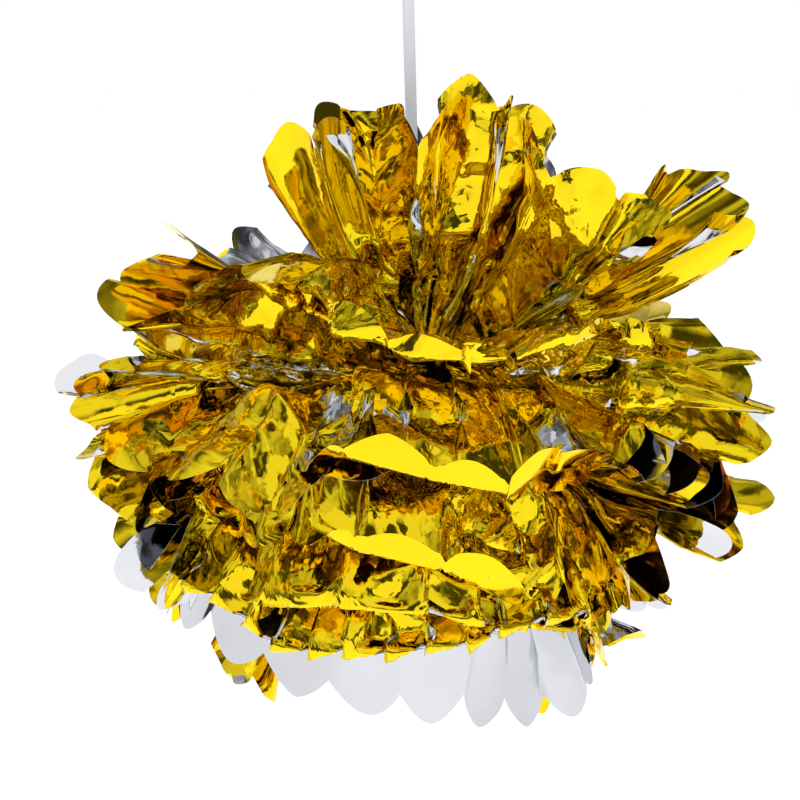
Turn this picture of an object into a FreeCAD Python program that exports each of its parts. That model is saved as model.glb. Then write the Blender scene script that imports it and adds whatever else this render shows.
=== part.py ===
"""Hanging pom-pom of pleated two-colour foil film, as a parametric document.

Eight rectangular sheets of film are folded like an accordion, laid on each other, tied at the
waist with soft wire and hung from a satin ribbon that ends in a loop.  Each half of a sheet
opens into a fan: one to the front (-Y), one to the back (+Y).  The ends of the folded stack
were cut round, so every pleat ends in a rounded petal.

Origin: the point of the hanging loop that rests on a hook.  +Z is up.  Millimetres.
"""

import FreeCAD, Part

import math
import os

import Sketcher
from FreeCAD import Placement, Rotation, Vector

SHEETS = 8

# Driving dimensions, in millimetres and degrees.
DIMENSIONS = {
    "hub_drop": 210.0,  # from the hook down to the middle of the tied waist
    "hub_aside": 8.0,  # how far the waist hangs to the right of the hook
    "knot_aside": 3.7,  # how far the lower knot sits to the left of the waist's middle
    "fan_turn": 3.0,  # the fans are opened this much further to the left, degrees
    "film": 0.4,  # solid thickness that stands for one film with its small crumples
    "fan_radius": 158.0,  # from the fold at the waist to the tip of a petal
    "tip_depth": 13.0,  # how deep the rounded ends are cut
    "pleats": 16,  # panels across one sheet, one petal each
    "pleat_height": 3.2,  # how far a fold line stands out of the fan half-way along
    "root_height": 0.3,  # and how far at the waist
    "fan_spread": 78.0,  # a fan reaches this far to each side of its middle, degrees
    "waist_width": 12.0,
    "waist_length": 17.0,
    "sheet_pitch": 2.0,  # height of one gathered waist in the stack
    "hinge_offset": 9.0,  # from the middle of the waist to the line where a fan bends
    "root_gap": 0.6,  # free space between that line and the fan
    "wire_thickness": 0.8,
    "wire_band": 1.6,  # two turns side by side
    "wire_clearance": 0.02,
    "twist_radius": 0.9,
    "twist_length": 9.0,
    "ribbon_width": 5.0,
    "ribbon_thickness": 0.5,
    "loop_radius": 6.5,  # inside the loop
    "loop_straight": 12.0,
    "knot_size": 8.0,  # height and width
    "knot_depth": 7.0,
    "knot_gap": 0.3,  # between a knot and the ribbon or loop that flexes beside it
}

# How far each fan is lifted above level, at its left edge, in its middle and at its right edge.
FRONT_LIFTS = [
    (62, 79, 57),
    (28, 58, 32),
    (12, 12, 9),
    (0, -5, -4),
    (-13, -19, -17),
    (-27, -33, -31),
    (-41, -47, -46),
    (-57, -61, -62),
]
BACK_LIFTS = [
    (60, 76, 62),
    (38, 50, 40),
    (20, 26, 22),
    (4, 8, 6),
    (-12, -9, -10),
    (-27, -26, -26),
    (-42, -43, -42),
    (-58, -60, -57),
]

# How far each fan reaches, as a share of the fan radius: the upper sheets were cut shorter.
FRONT_REACHES = (0.90, 0.93, 1, 1, 1, 1, 1, 1)
BACK_REACHES = (0.88, 0.95, 1, 1, 1, 1, 1, 1)

# Where along a panel its fold lines bend, as shares of the distance to the petals.
STATIONS = (0.0, 0.42, 1.0)
# Points of a petal's round end, as shares of its width.
TIP_SHARES = (0.0, 0.2, 0.5, 0.8, 1.0)


def make_dimension_sheet(doc):
    """The spreadsheet that every size is read from."""
    table = doc.addObject("Spreadsheet::Sheet", "dims")
    values = dict(DIMENSIONS)
    for side, lifts, reaches in (
        ("front", FRONT_LIFTS, FRONT_REACHES),
        ("back", BACK_LIFTS, BACK_REACHES),
    ):
        for number, (left, middle, right) in enumerate(lifts, start=1):
            values[f"{side}_{number}_left"] = left
            values[f"{side}_{number}_middle"] = middle
            values[f"{side}_{number}_right"] = right
            values[f"{side}_{number}_reach"] = reaches[number - 1]
    for row, (name, value) in enumerate(values.items(), start=1):
        table.set(f"A{row}", name)
        table.set(f"B{row}", str(value))
        table.setAlias(f"B{row}", name)
    doc.recompute()
    return table


def add(doc, kind, name, **expressions):
    """A document object whose properties are bound to cells of the sheet."""
    made = doc.addObject(kind, name)
    made.Label = name
    for key, expression in expressions.items():
        made.setExpression(key, expression)
    return made


def place(made, x="0 mm", y="0 mm", z="0 mm"):
    """Bind where an object stands to cells of the sheet."""
    for axis, expression in zip("xyz", (x, y, z)):
        made.setExpression(f"Placement.Base.{axis}", expression)


# ---------------------------------------------------------------- film


def fan_vertex(dims, side, opening, across, along, rises):
    """A point of a fan's middle surface, seen from the point where its sheet bends.

    opening holds the fan's three lifts and its reach, across runs from 0 to 1 over the pleats,
    along is the distance from the fold in millimetres on a fan of full reach, and rises is +1
    on a ridge, -1 in a valley and 0 between them.
    """
    spread = math.radians(dims.fan_spread)
    left, middle, right = (math.radians(lift) for lift in opening[:3])
    turn = (2 * across - 1) * spread - math.radians(dims.fan_turn)
    lift = middle + (left - middle) * max(0.0, 1 - 2 * across) ** 2
    lift += (right - middle) * max(0.0, 2 * across - 1) ** 2
    outward = Vector(
        math.sin(turn) * math.cos(lift),
        side * math.cos(turn) * math.cos(lift),
        math.sin(lift),
    )
    upward = Vector(
        -math.sin(turn) * math.sin(lift),
        -side * math.cos(turn) * math.sin(lift),
        math.cos(lift),
    )
    share = along / dims.fan_radius
    swell = math.sin(math.pi * share) * dims.pleat_height
    height = rises * (swell + (1 - share) * dims.root_height)
    root = Vector((2 * across - 1) * dims.waist_width / 2, 0, 0)
    return root + outward * (along * opening[3] + dims.root_gap) + upward * height


def fan_grid(dims, side, opening):
    """Rows of points from the waist to where the petals begin, and the round ends."""
    count = int(dims.pleats)
    straight = dims.fan_radius - dims.tip_depth
    rows = []
    for station in STATIONS:
        row = []
        for fold in range(count + 1):
            ridge = 1 if fold % 2 else -1
            row.append(fan_vertex(dims, side, opening, fold / count, station * straight, ridge))
        rows.append(row)
    tips = []
    for petal in range(count):
        tip = []
        for share in TIP_SHARES[1:-1]:
            reach = straight + dims.tip_depth * math.sqrt(1 - (2 * share - 1) ** 2)
            ridge = (1 - 2 * share) * (-1 if petal % 2 == 0 else 1)
            tip.append(fan_vertex(dims, side, opening, (petal + share) / count, reach, ridge))
        tips.append(tip)
    return rows, tips


def fan_triangles(rows, tips):
    """The fan's middle surface: its points, and triples that all turn the same way."""
    points = [point for row in rows for point in row]
    width = len(rows[0])
    triangles = []
    for station in range(len(rows) - 1):
        for fold in range(width - 1):
            near = station * width + fold
            far = near + width
            triangles.append((near, near + 1, far + 1))
            triangles.append((near, far + 1, far))
    last_row = (len(rows) - 1) * width
    for petal, tip in enumerate(tips):
        first = len(points)
        points.extend(tip)
        outline = [last_row + petal + 1] + list(range(first + len(tip) - 1, first - 1, -1))
        for one, other in zip(outline, outline[1:]):
            triangles.append((last_row + petal, one, other))
    return points, triangles


def point_normals(points, triangles):
    """A unit normal at each point, from the triangles that meet there."""
    normals = [Vector() for _ in points]
    for corners in triangles:
        one, two, three = (points[corner] for corner in corners)
        facing = (two - one).cross(three - one).normalize()
        for corner in corners:
            normals[corner] += facing
    return [normal.normalize() for normal in normals]


def outline_edges(triangles):
    """Edges that only one triangle uses, in its direction."""
    edges = set()
    for one, two, three in triangles:
        edges.update(((one, two), (two, three), (three, one)))
    return [edge for edge in edges if edge[::-1] not in edges]


def thick_solid(points, triangles, thickness):
    """A closed solid of even thickness about a triangulated surface."""
    normals = point_normals(points, triangles)
    upper = [point + normal * (thickness / 2) for point, normal in zip(points, normals)]
    lower = [point - normal * (thickness / 2) for point, normal in zip(points, normals)]
    corners = [[upper[i] for i in triangle] for triangle in triangles]
    corners += [[lower[i] for i in reversed(triangle)] for triangle in triangles]
    for one, two in outline_edges(triangles):
        corners.append([upper[two], upper[one], lower[one]])
        corners.append([upper[two], lower[one], lower[two]])
    faces = [Part.Face(Part.makePolygon(three + three[:1])) for three in corners]
    return Part.makeSolid(Part.makeShell(faces))


def make_fan(doc, dims, side_name, number):
    """Half of one sheet, opened from its fold at the waist."""
    side = -1 if side_name == "front" else 1
    opening = [
        dims.getPropertyByName(f"{side_name}_{number}_{part}")
        for part in ("left", "middle", "right", "reach")
    ]
    rows, tips = fan_grid(dims, side, opening)
    solid = thick_solid(*fan_triangles(rows, tips), dims.film)
    if solid.Volume < 0:
        solid.reverse()
    fan = doc.addObject("Part::Feature", f"{side_name}_fan_{number}")
    fan.Label = fan.Name
    fan.Shape = solid
    stack_place = (SHEETS + 1) / 2 - number
    hinge = Vector(
        dims.hub_aside,
        side * dims.hinge_offset,
        stack_place * dims.sheet_pitch - dims.hub_drop,
    )
    fan.Placement = Placement(hinge, Rotation())
    return fan


def make_waist(doc, number):
    """The gathered middle of one sheet, a flat bundle in the tied stack."""
    waist = add(
        doc,
        "Part::Box",
        f"waist_{number}",
        Length="dims.waist_width",
        Width="dims.waist_length",
        Height="dims.sheet_pitch",
    )
    above = (SHEETS / 2) - number
    place(
        waist,
        x="dims.hub_aside - dims.waist_width / 2",
        y="-dims.waist_length / 2",
        z=f"{above} * dims.sheet_pitch - dims.hub_drop",
    )
    return waist


# ---------------------------------------------------------------- tie


def make_tie_wire(doc):
    """Two turns of soft wire, side by side, round the stack of waists."""
    hole_width = "(dims.waist_width + 2 * dims.wire_clearance)"
    hole_height = f"({SHEETS} * dims.sheet_pitch + 2 * dims.wire_clearance)"
    outer = add(
        doc,
        "Part::Box",
        "tie_outer",
        Length=f"{hole_width} + 2 * dims.wire_thickness",
        Width="dims.wire_band",
        Height=f"{hole_height} + 2 * dims.wire_thickness",
    )
    place(
        outer,
        x=f"dims.hub_aside - {hole_width} / 2 - dims.wire_thickness",
        y="-dims.wire_band / 2",
        z=f"-dims.hub_drop - {hole_height} / 2 - dims.wire_thickness",
    )
    rounded = doc.addObject("Part::Fillet", "tie_rounded")
    rounded.Base = outer
    doc.recompute()
    round_radius = doc.dims.wire_thickness * 0.9
    rounded.Edges = [
        (index, round_radius, round_radius)
        for index, edge in enumerate(outer.Shape.Edges, start=1)
        if abs(edge.tangentAt(edge.FirstParameter).y) > 0.5
    ]
    hole = add(
        doc,
        "Part::Box",
        "tie_hole",
        Length=hole_width,
        Width="2 * dims.wire_band",
        Height=hole_height,
    )
    place(
        hole,
        x=f"dims.hub_aside - {hole_width} / 2",
        y="-dims.wire_band",
        z=f"-dims.hub_drop - {hole_height} / 2",
    )
    tie = add(doc, "Part::Cut", "tie_wire")
    tie.Base = rounded
    tie.Tool = hole
    return tie


def make_wire_twist(doc):
    """The two wire ends, twisted together under the stack."""
    twist = add(
        doc,
        "Part::Cylinder",
        "wire_twist",
        Radius="dims.twist_radius",
        Height="dims.twist_length",
    )
    under = f"{SHEETS} / 2 * dims.sheet_pitch + dims.wire_clearance + dims.wire_thickness"
    place(
        twist,
        x="dims.hub_aside",
        z=f"-dims.hub_drop - ({under}) - dims.twist_length",
    )
    return twist


# ---------------------------------------------------------------- ribbon


def knot_centres(dims):
    """Heights of the knot under the loop and of the knot on the tied waist."""
    loop_height = 2 * dims.loop_radius + dims.loop_straight + dims.ribbon_thickness
    upper = -loop_height - dims.knot_gap - dims.knot_size / 2
    stack_top = SHEETS / 2 * dims.sheet_pitch + dims.wire_clearance + dims.wire_thickness
    lower = stack_top + dims.knot_size / 2 - dims.hub_drop
    return upper, lower


def make_knot(doc, dims, name, x, z):
    """A tight knot of ribbon, as the round lump that it fills."""
    knot = add(
        doc,
        "Part::Ellipsoid",
        name,
        Radius1="dims.knot_size / 2",
        Radius2="dims.knot_size / 2",
        Radius3="dims.knot_depth / 2",
    )
    knot.Placement = Placement(Vector(x, 0, z), Rotation())
    return knot


def make_ribbon(doc, dims):
    """The straight ribbon that carries the ball, as wide as the real one."""
    upper, lower = knot_centres(dims)
    line = Vector(-dims.hub_aside + dims.knot_aside, 0, upper - lower)
    clear = dims.knot_size / 2 + dims.knot_gap
    ribbon = add(doc, "Part::Cylinder", "ribbon", Radius="dims.ribbon_width / 2")
    ribbon.Height = line.Length - 2 * clear
    along = Vector(line).normalize()
    bottom = Vector(dims.hub_aside - dims.knot_aside, 0, lower) + along * clear
    ribbon.Placement = Placement(bottom, Rotation(Vector(0, 0, 1), line))
    return ribbon


def stadium(sketch, radius, straight, middle):
    """A slot outline round (0, middle): two half circles and two straight sides."""
    first = sketch.GeometryCount
    up, down = middle + straight / 2, middle - straight / 2
    circle = Part.Circle(Vector(0, up, 0), Vector(0, 0, 1), radius)
    sketch.addGeometry(Part.ArcOfCircle(circle, 0, math.pi))
    sketch.addGeometry(Part.LineSegment(Vector(-radius, up, 0), Vector(-radius, down, 0)))
    circle = Part.Circle(Vector(0, down, 0), Vector(0, 0, 1), radius)
    sketch.addGeometry(Part.ArcOfCircle(circle, math.pi, 2 * math.pi))
    sketch.addGeometry(Part.LineSegment(Vector(radius, down, 0), Vector(radius, up, 0)))
    return first


def make_hanging_loop(doc, dims):
    """The ribbon's end, turned back on itself into a loop for a hook."""
    body = doc.addObject("PartDesign::Body", "hanging_loop")
    body.Label = "hanging_loop"
    plane = [f for f in body.Origin.OriginFeatures if f.Role == "XZ_Plane"][0]
    sketch = body.newObject("Sketcher::SketchObject", "loop_outline")
    sketch.AttachmentSupport = [(plane, "")]
    sketch.MapMode = "FlatFace"
    middle = -dims.loop_radius - dims.loop_straight / 2
    for extra, size in (
        (0.0, "dims.loop_radius"),
        (dims.ribbon_thickness, "dims.loop_radius + dims.ribbon_thickness"),
    ):
        first = stadium(sketch, dims.loop_radius + extra, dims.loop_straight, middle)
        for arc, line in ((0, 1), (2, 3)):
            for one, two in ((arc, line), (line, (arc + 2) % 4)):
                sketch.addConstraint(
                    Sketcher.Constraint("Tangent", first + one, 2, first + two, 1)
                )
        sketch.addConstraint(Sketcher.Constraint("PointOnObject", first, 3, -2))
        sketch.addConstraint(Sketcher.Constraint("PointOnObject", first + 2, 3, -2))
        drop = sketch.addConstraint(
            Sketcher.Constraint("DistanceY", first, 3, -1, 1, dims.loop_radius)
        )
        reach = sketch.addConstraint(
            Sketcher.Constraint("DistanceY", first + 2, 3, first, 3, dims.loop_straight)
        )
        wide = sketch.addConstraint(
            Sketcher.Constraint("Radius", first, dims.loop_radius + extra)
        )
        sketch.addConstraint(Sketcher.Constraint("Equal", first, first + 2))
        sketch.setExpression(f"Constraints[{drop}]", "dims.loop_radius")
        sketch.setExpression(f"Constraints[{reach}]", "dims.loop_straight")
        sketch.setExpression(f"Constraints[{wide}]", size)
    pad = body.newObject("PartDesign::Pad", "loop_band")
    pad.Profile = sketch
    pad.setExpression("Length", "dims.ribbon_width")
    pad.Midplane = True
    return body


# ---------------------------------------------------------------- whole object


def build():
    doc = FreeCAD.newDocument("pom_pom")
    dims = make_dimension_sheet(doc)
    upper, lower = knot_centres(dims)
    nodes = [
        make_hanging_loop(doc, dims),
        make_knot(doc, dims, "loop_knot", 0, upper),
        make_ribbon(doc, dims),
        make_knot(doc, dims, "ribbon_knot", dims.hub_aside - dims.knot_aside, lower),
        make_tie_wire(doc),
        make_wire_twist(doc),
    ]
    for number in range(1, SHEETS + 1):
        nodes.append(make_waist(doc, number))
        for side_name in ("front", "back"):
            nodes.append(make_fan(doc, dims, side_name, number))
    doc.recompute()
    return doc, nodes


def check(doc, nodes):
    """Stop if any object failed to compute or any shape is not a valid solid."""
    for made in doc.Objects:
        bad = [state for state in made.State if state in ("Invalid", "Error")]
        if bad:
            raise RuntimeError(f"{made.Label} is {bad}")
    for node in nodes:
        shape = node.Shape
        if shape.isNull() or not shape.isValid() or shape.Volume <= 0:
            raise RuntimeError(f"{node.Label} is not a valid solid")


def export(nodes):
    os.makedirs("parts", exist_ok=True)
    for node in nodes:
        node.Shape.exportStep(f"parts/{node.Label}.step")


document, parts = build()
check(document, parts)
export(parts)
for part in parts:
    box = part.Shape.BoundBox
    print(
        f"{part.Label}: {len(part.Shape.Solids)} solid, {part.Shape.Volume:.1f} mm3, "
        f"x {box.XMin:.1f} {box.XMax:.1f} y {box.YMin:.1f} {box.YMax:.1f} "
        f"z {box.ZMin:.1f} {box.ZMax:.1f}"
    )
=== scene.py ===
"""Hanging foil pom-pom: pleated gold and silver film, soft wire and a satin ribbon.

Everything is in metres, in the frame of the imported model: origin at the hook, +Z up, the
viewer on the -Y side.  Each half sheet of film is one grid mesh.  Its fold lines leave the
waist as rays that may bend on their way, and its round-cut ends are petals.  Facets that are
laid out on the gathered film crumple it, as real foil crumples.
"""

import math

import bpy
import numpy as np
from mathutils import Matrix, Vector
from mathutils.geometry import delaunay_2d_cdt


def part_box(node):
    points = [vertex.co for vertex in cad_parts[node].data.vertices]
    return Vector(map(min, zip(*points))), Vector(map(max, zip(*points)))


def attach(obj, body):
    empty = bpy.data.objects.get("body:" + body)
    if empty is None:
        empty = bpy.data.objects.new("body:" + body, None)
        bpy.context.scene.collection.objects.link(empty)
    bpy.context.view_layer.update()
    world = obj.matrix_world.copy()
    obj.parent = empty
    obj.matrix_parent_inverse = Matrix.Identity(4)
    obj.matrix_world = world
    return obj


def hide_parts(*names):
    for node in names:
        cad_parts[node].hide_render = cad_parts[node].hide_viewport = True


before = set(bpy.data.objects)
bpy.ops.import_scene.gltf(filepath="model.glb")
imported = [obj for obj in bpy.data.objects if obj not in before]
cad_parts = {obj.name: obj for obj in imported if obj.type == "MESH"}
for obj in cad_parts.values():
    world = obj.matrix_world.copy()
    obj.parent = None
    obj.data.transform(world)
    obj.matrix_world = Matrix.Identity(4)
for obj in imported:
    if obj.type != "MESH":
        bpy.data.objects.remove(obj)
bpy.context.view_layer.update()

SHEETS = 8
PLEATS = 16
PANEL_WIDTH = 0.031
FAN_RADIUS = 0.158
PANEL_ANGLE = 2 * math.asin(PANEL_WIDTH / 2 / FAN_RADIUS)
TIP_DEPTH = 0.014  # from a petal's tip to the notches beside it
FILM = 0.00004
SMALL_PLEATS = 3  # small gathers in each panel
MOST_OVERLAP = 1.45  # how far a panel may spread beyond the gap between its fold lines
LAP_EDGE = 0.12  # share of a panel that runs back to its fold line
LAP_HEIGHT = 0.0028
FLAP_ANGLE = 30  # degrees of fold from which a petal's end is a flat flap
RIBBON_WIDTH = 0.005
RIBBON_THICKNESS = 0.0003
WIRE_RADIUS = 0.0004
CAMERA_DISTANCE = 1.5
CAMERA_LIFT = math.radians(6)
AIM_OFFSET = (-0.0113, 0, -0.0039)  # from the middle of the waist to the picture's middle
PICTURE_WIDTH = 0.348  # of the plane through the ball that the picture shows
FLOOR_DROP = 0.75
FLOOR_HALF = 30.0

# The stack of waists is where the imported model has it.
WAIST_LOW, WAIST_HIGH = (np.array(corner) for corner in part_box("waist_1"))
WAIST_SIZE = WAIST_HIGH - WAIST_LOW
HUB = np.array(
    [(WAIST_LOW[0] + WAIST_HIGH[0]) / 2, 0.0, WAIST_HIGH[2] - SHEETS / 2 * WAIST_SIZE[2]]
)
HINGE_GAP = 0.0005
HINGE_OFFSET = WAIST_SIZE[1] / 2 + HINGE_GAP


# ---------------------------------------------------------------- materials


def new_material(name, metallic, roughness, color):
    """A plain material, with its nodes, links and shader to build on."""
    material = bpy.data.materials.new(name)
    material.use_nodes = True
    shader = material.node_tree.nodes["Principled BSDF"]
    shader.inputs["Metallic"].default_value = metallic
    shader.inputs["Roughness"].default_value = roughness
    shader.inputs["Base Color"].default_value = (*color, 1)
    return material, material.node_tree.nodes, material.node_tree.links, shader


def noise(nodes, links, place, scale, detail=2.0):
    """Smooth noise over the given places."""
    texture = nodes.new("ShaderNodeTexNoise")
    texture.inputs["Scale"].default_value = scale
    texture.inputs["Detail"].default_value = detail
    links.new(place, texture.inputs["Vector"])
    return texture


def mapped(nodes, links, value, low, high, to_low, to_high):
    """A value taken from one range to another, and held at its ends."""
    mapping = nodes.new("ShaderNodeMapRange")
    mapping.inputs["From Min"].default_value = low
    mapping.inputs["From Max"].default_value = high
    mapping.inputs["To Min"].default_value = to_low
    mapping.inputs["To Max"].default_value = to_high
    links.new(value, mapping.inputs["Value"])
    return mapping.outputs["Result"]


def vector_math(nodes, links, operation, first, second):
    """A vector operation on two sockets, or on a socket and a fixed vector."""
    maths = nodes.new("ShaderNodeVectorMath")
    maths.operation = operation
    links.new(first, maths.inputs[0])
    if isinstance(second, tuple):
        maths.inputs[1].default_value = second
    else:
        links.new(second, maths.inputs[1])
    return maths


def blended(nodes, links, factor, first, second):
    """A mix of two colours."""
    mix = nodes.new("ShaderNodeMix")
    mix.data_type = "RGBA"
    mix.inputs["A"].default_value = (*first, 1)
    mix.inputs["B"].default_value = (*second, 1)
    links.new(factor, mix.inputs["Factor"])
    return mix.outputs["Result"]


def bumped(nodes, links, height, distance, strength):
    """A bump node whose relief follows the given height."""
    bump = nodes.new("ShaderNodeBump")
    bump.inputs["Distance"].default_value = distance
    bump.inputs["Strength"].default_value = strength
    links.new(height, bump.inputs["Height"])
    return bump


def object_coordinates(nodes):
    return nodes.new("ShaderNodeTexCoord").outputs["Object"]


def cell_tilts(nodes, links, vector, scale, stretch):
    """A random tilt for each cell of a pattern laid out on the flat film."""
    mapping = nodes.new("ShaderNodeMapping")
    mapping.inputs["Scale"].default_value = (scale, scale / stretch, 1)
    links.new(vector, mapping.inputs["Vector"])
    cells = nodes.new("ShaderNodeTexVoronoi")
    cells.inputs["Scale"].default_value = 1
    links.new(mapping.outputs["Vector"], cells.inputs["Vector"])
    return vector_math(nodes, links, "SUBTRACT", cells.outputs["Color"], (0.5, 0.5, 0.5)).outputs[0]


def foil_material(name, color, deep):
    """Metallised film: a mirror broken into small flat facets, with a little haze."""
    material, nodes, links, shader = new_material(name, 1.0, 0.1, color)
    place = object_coordinates(nodes)
    laid_out = nodes.new("ShaderNodeAttribute")
    laid_out.attribute_name = "film_place"
    crumple = nodes.new("ShaderNodeAttribute")
    crumple.attribute_name = "crumple"

    warp = noise(nodes, links, laid_out.outputs["Vector"], 140)
    warp_reach = (0.004, 0.004, 0)
    bent = vector_math(nodes, links, "MULTIPLY_ADD", warp.outputs["Color"], warp_reach)
    links.new(laid_out.outputs["Vector"], bent.inputs[2])

    normal = nodes.new("ShaderNodeNewGeometry").outputs["Normal"]
    for cells_per_metre, stretch, strength in ((130, 1.6, 0.30), (380, 1.5, 0.16)):
        amount = nodes.new("ShaderNodeMath")
        amount.operation = "MULTIPLY"
        amount.inputs[1].default_value = strength
        links.new(crumple.outputs["Fac"], amount.inputs[0])
        tilt = nodes.new("ShaderNodeVectorMath")
        tilt.operation = "SCALE"
        cells = cell_tilts(nodes, links, bent.outputs[0], cells_per_metre, stretch)
        links.new(cells, tilt.inputs[0])
        links.new(amount.outputs[0], tilt.inputs["Scale"])
        normal = vector_math(nodes, links, "ADD", normal, tilt.outputs[0]).outputs[0]
    direction = nodes.new("ShaderNodeVectorMath")
    direction.operation = "NORMALIZE"
    links.new(normal, direction.inputs[0])
    ripple = noise(nodes, links, place, 60, 3)
    bump = bumped(nodes, links, ripple.outputs["Fac"], 0.0012, 0.15)
    links.new(direction.outputs[0], bump.inputs["Normal"])
    links.new(bump.outputs["Normal"], shader.inputs["Normal"])

    haze = noise(nodes, links, place, 45, 6).outputs["Fac"]
    links.new(mapped(nodes, links, haze, 0.35, 0.7, 0.05, 0.16), shader.inputs["Roughness"])
    patches = noise(nodes, links, place, 18).outputs["Fac"]
    links.new(blended(nodes, links, patches, color, deep), shader.inputs["Base Color"])
    return material


def satin_material():
    """White woven satin ribbon: fine threads across it and a soft sheen."""
    material, nodes, links, shader = new_material("satin", 0.0, 0.38, (0.8, 0.81, 0.85))
    shader.inputs["Sheen Weight"].default_value = 0.3
    threads = nodes.new("ShaderNodeTexWave")
    threads.wave_type = "BANDS"
    threads.bands_direction = "Z"
    threads.inputs["Scale"].default_value = 700
    threads.inputs["Distortion"].default_value = 0.6
    links.new(object_coordinates(nodes), threads.inputs["Vector"])
    bump = bumped(nodes, links, threads.outputs["Fac"], 0.00008, 0.4)
    links.new(bump.outputs["Normal"], shader.inputs["Normal"])
    shade = blended(nodes, links, threads.outputs["Fac"], (0.76, 0.77, 0.82), (0.86, 0.87, 0.9))
    links.new(shade, shader.inputs["Base Color"])
    return material


def wire_material():
    """Soft galvanised wire with drawn scratches."""
    material, nodes, links, shader = new_material("wire", 1.0, 0.35, (0.6, 0.6, 0.62))
    scratches = noise(nodes, links, object_coordinates(nodes), 900).outputs["Fac"]
    links.new(mapped(nodes, links, scratches, 0, 1, 0.25, 0.5), shader.inputs["Roughness"])
    return material


GOLD = foil_material("gold_film", (0.91, 0.69, 0.012), (0.84, 0.60, 0.010))
SILVER = foil_material("silver_film", (0.62, 0.63, 0.66), (0.58, 0.59, 0.63))
SATIN = satin_material()
WIRE = wire_material()


# ---------------------------------------------------------------- meshes


def new_object(name, vertices, faces, materials, smooth=True):
    mesh = bpy.data.meshes.new(name)
    mesh.from_pydata([tuple(v) for v in vertices], [], faces)
    mesh.polygons.foreach_set("use_smooth", [smooth] * len(mesh.polygons))
    for material in materials:
        mesh.materials.append(material)
    made = bpy.data.objects.new(name, mesh)
    bpy.context.collection.objects.link(made)
    return made


def grid_faces(rows, columns, closed=False):
    """Quads of a grid that is stored row by row."""
    wrap = columns if closed else columns - 1
    return [
        (
            i * columns + j,
            i * columns + (j + 1) % columns,
            (i + 1) * columns + (j + 1) % columns,
            (i + 1) * columns + j,
        )
        for i in range(rows - 1)
        for j in range(wrap)
    ]


def tube_faces(rings, sides):
    """Faces of a closed tube that is stored ring by ring, with both its ends capped."""
    last = (rings - 1) * sides
    start_cap = tuple(range(sides))[::-1]
    end_cap = tuple(last + j for j in range(sides))
    return grid_faces(rings, sides, closed=True) + [start_cap, end_cap]


def joined(pieces):
    """Several mesh objects made into the first of them."""
    bpy.ops.object.select_all(action="DESELECT")
    for piece in pieces:
        piece.select_set(True)
    bpy.context.view_layer.objects.active = pieces[0]
    bpy.ops.object.join()
    return pieces[0]


def cad_box(node):
    """The middle and the half size of a CAD node's box."""
    low, high = (np.array(corner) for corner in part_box(node))
    return (low + high) / 2, (high - low) / 2


def unit(vectors):
    return vectors / np.linalg.norm(vectors, axis=-1, keepdims=True)


# ---------------------------------------------------------------- film

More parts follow.
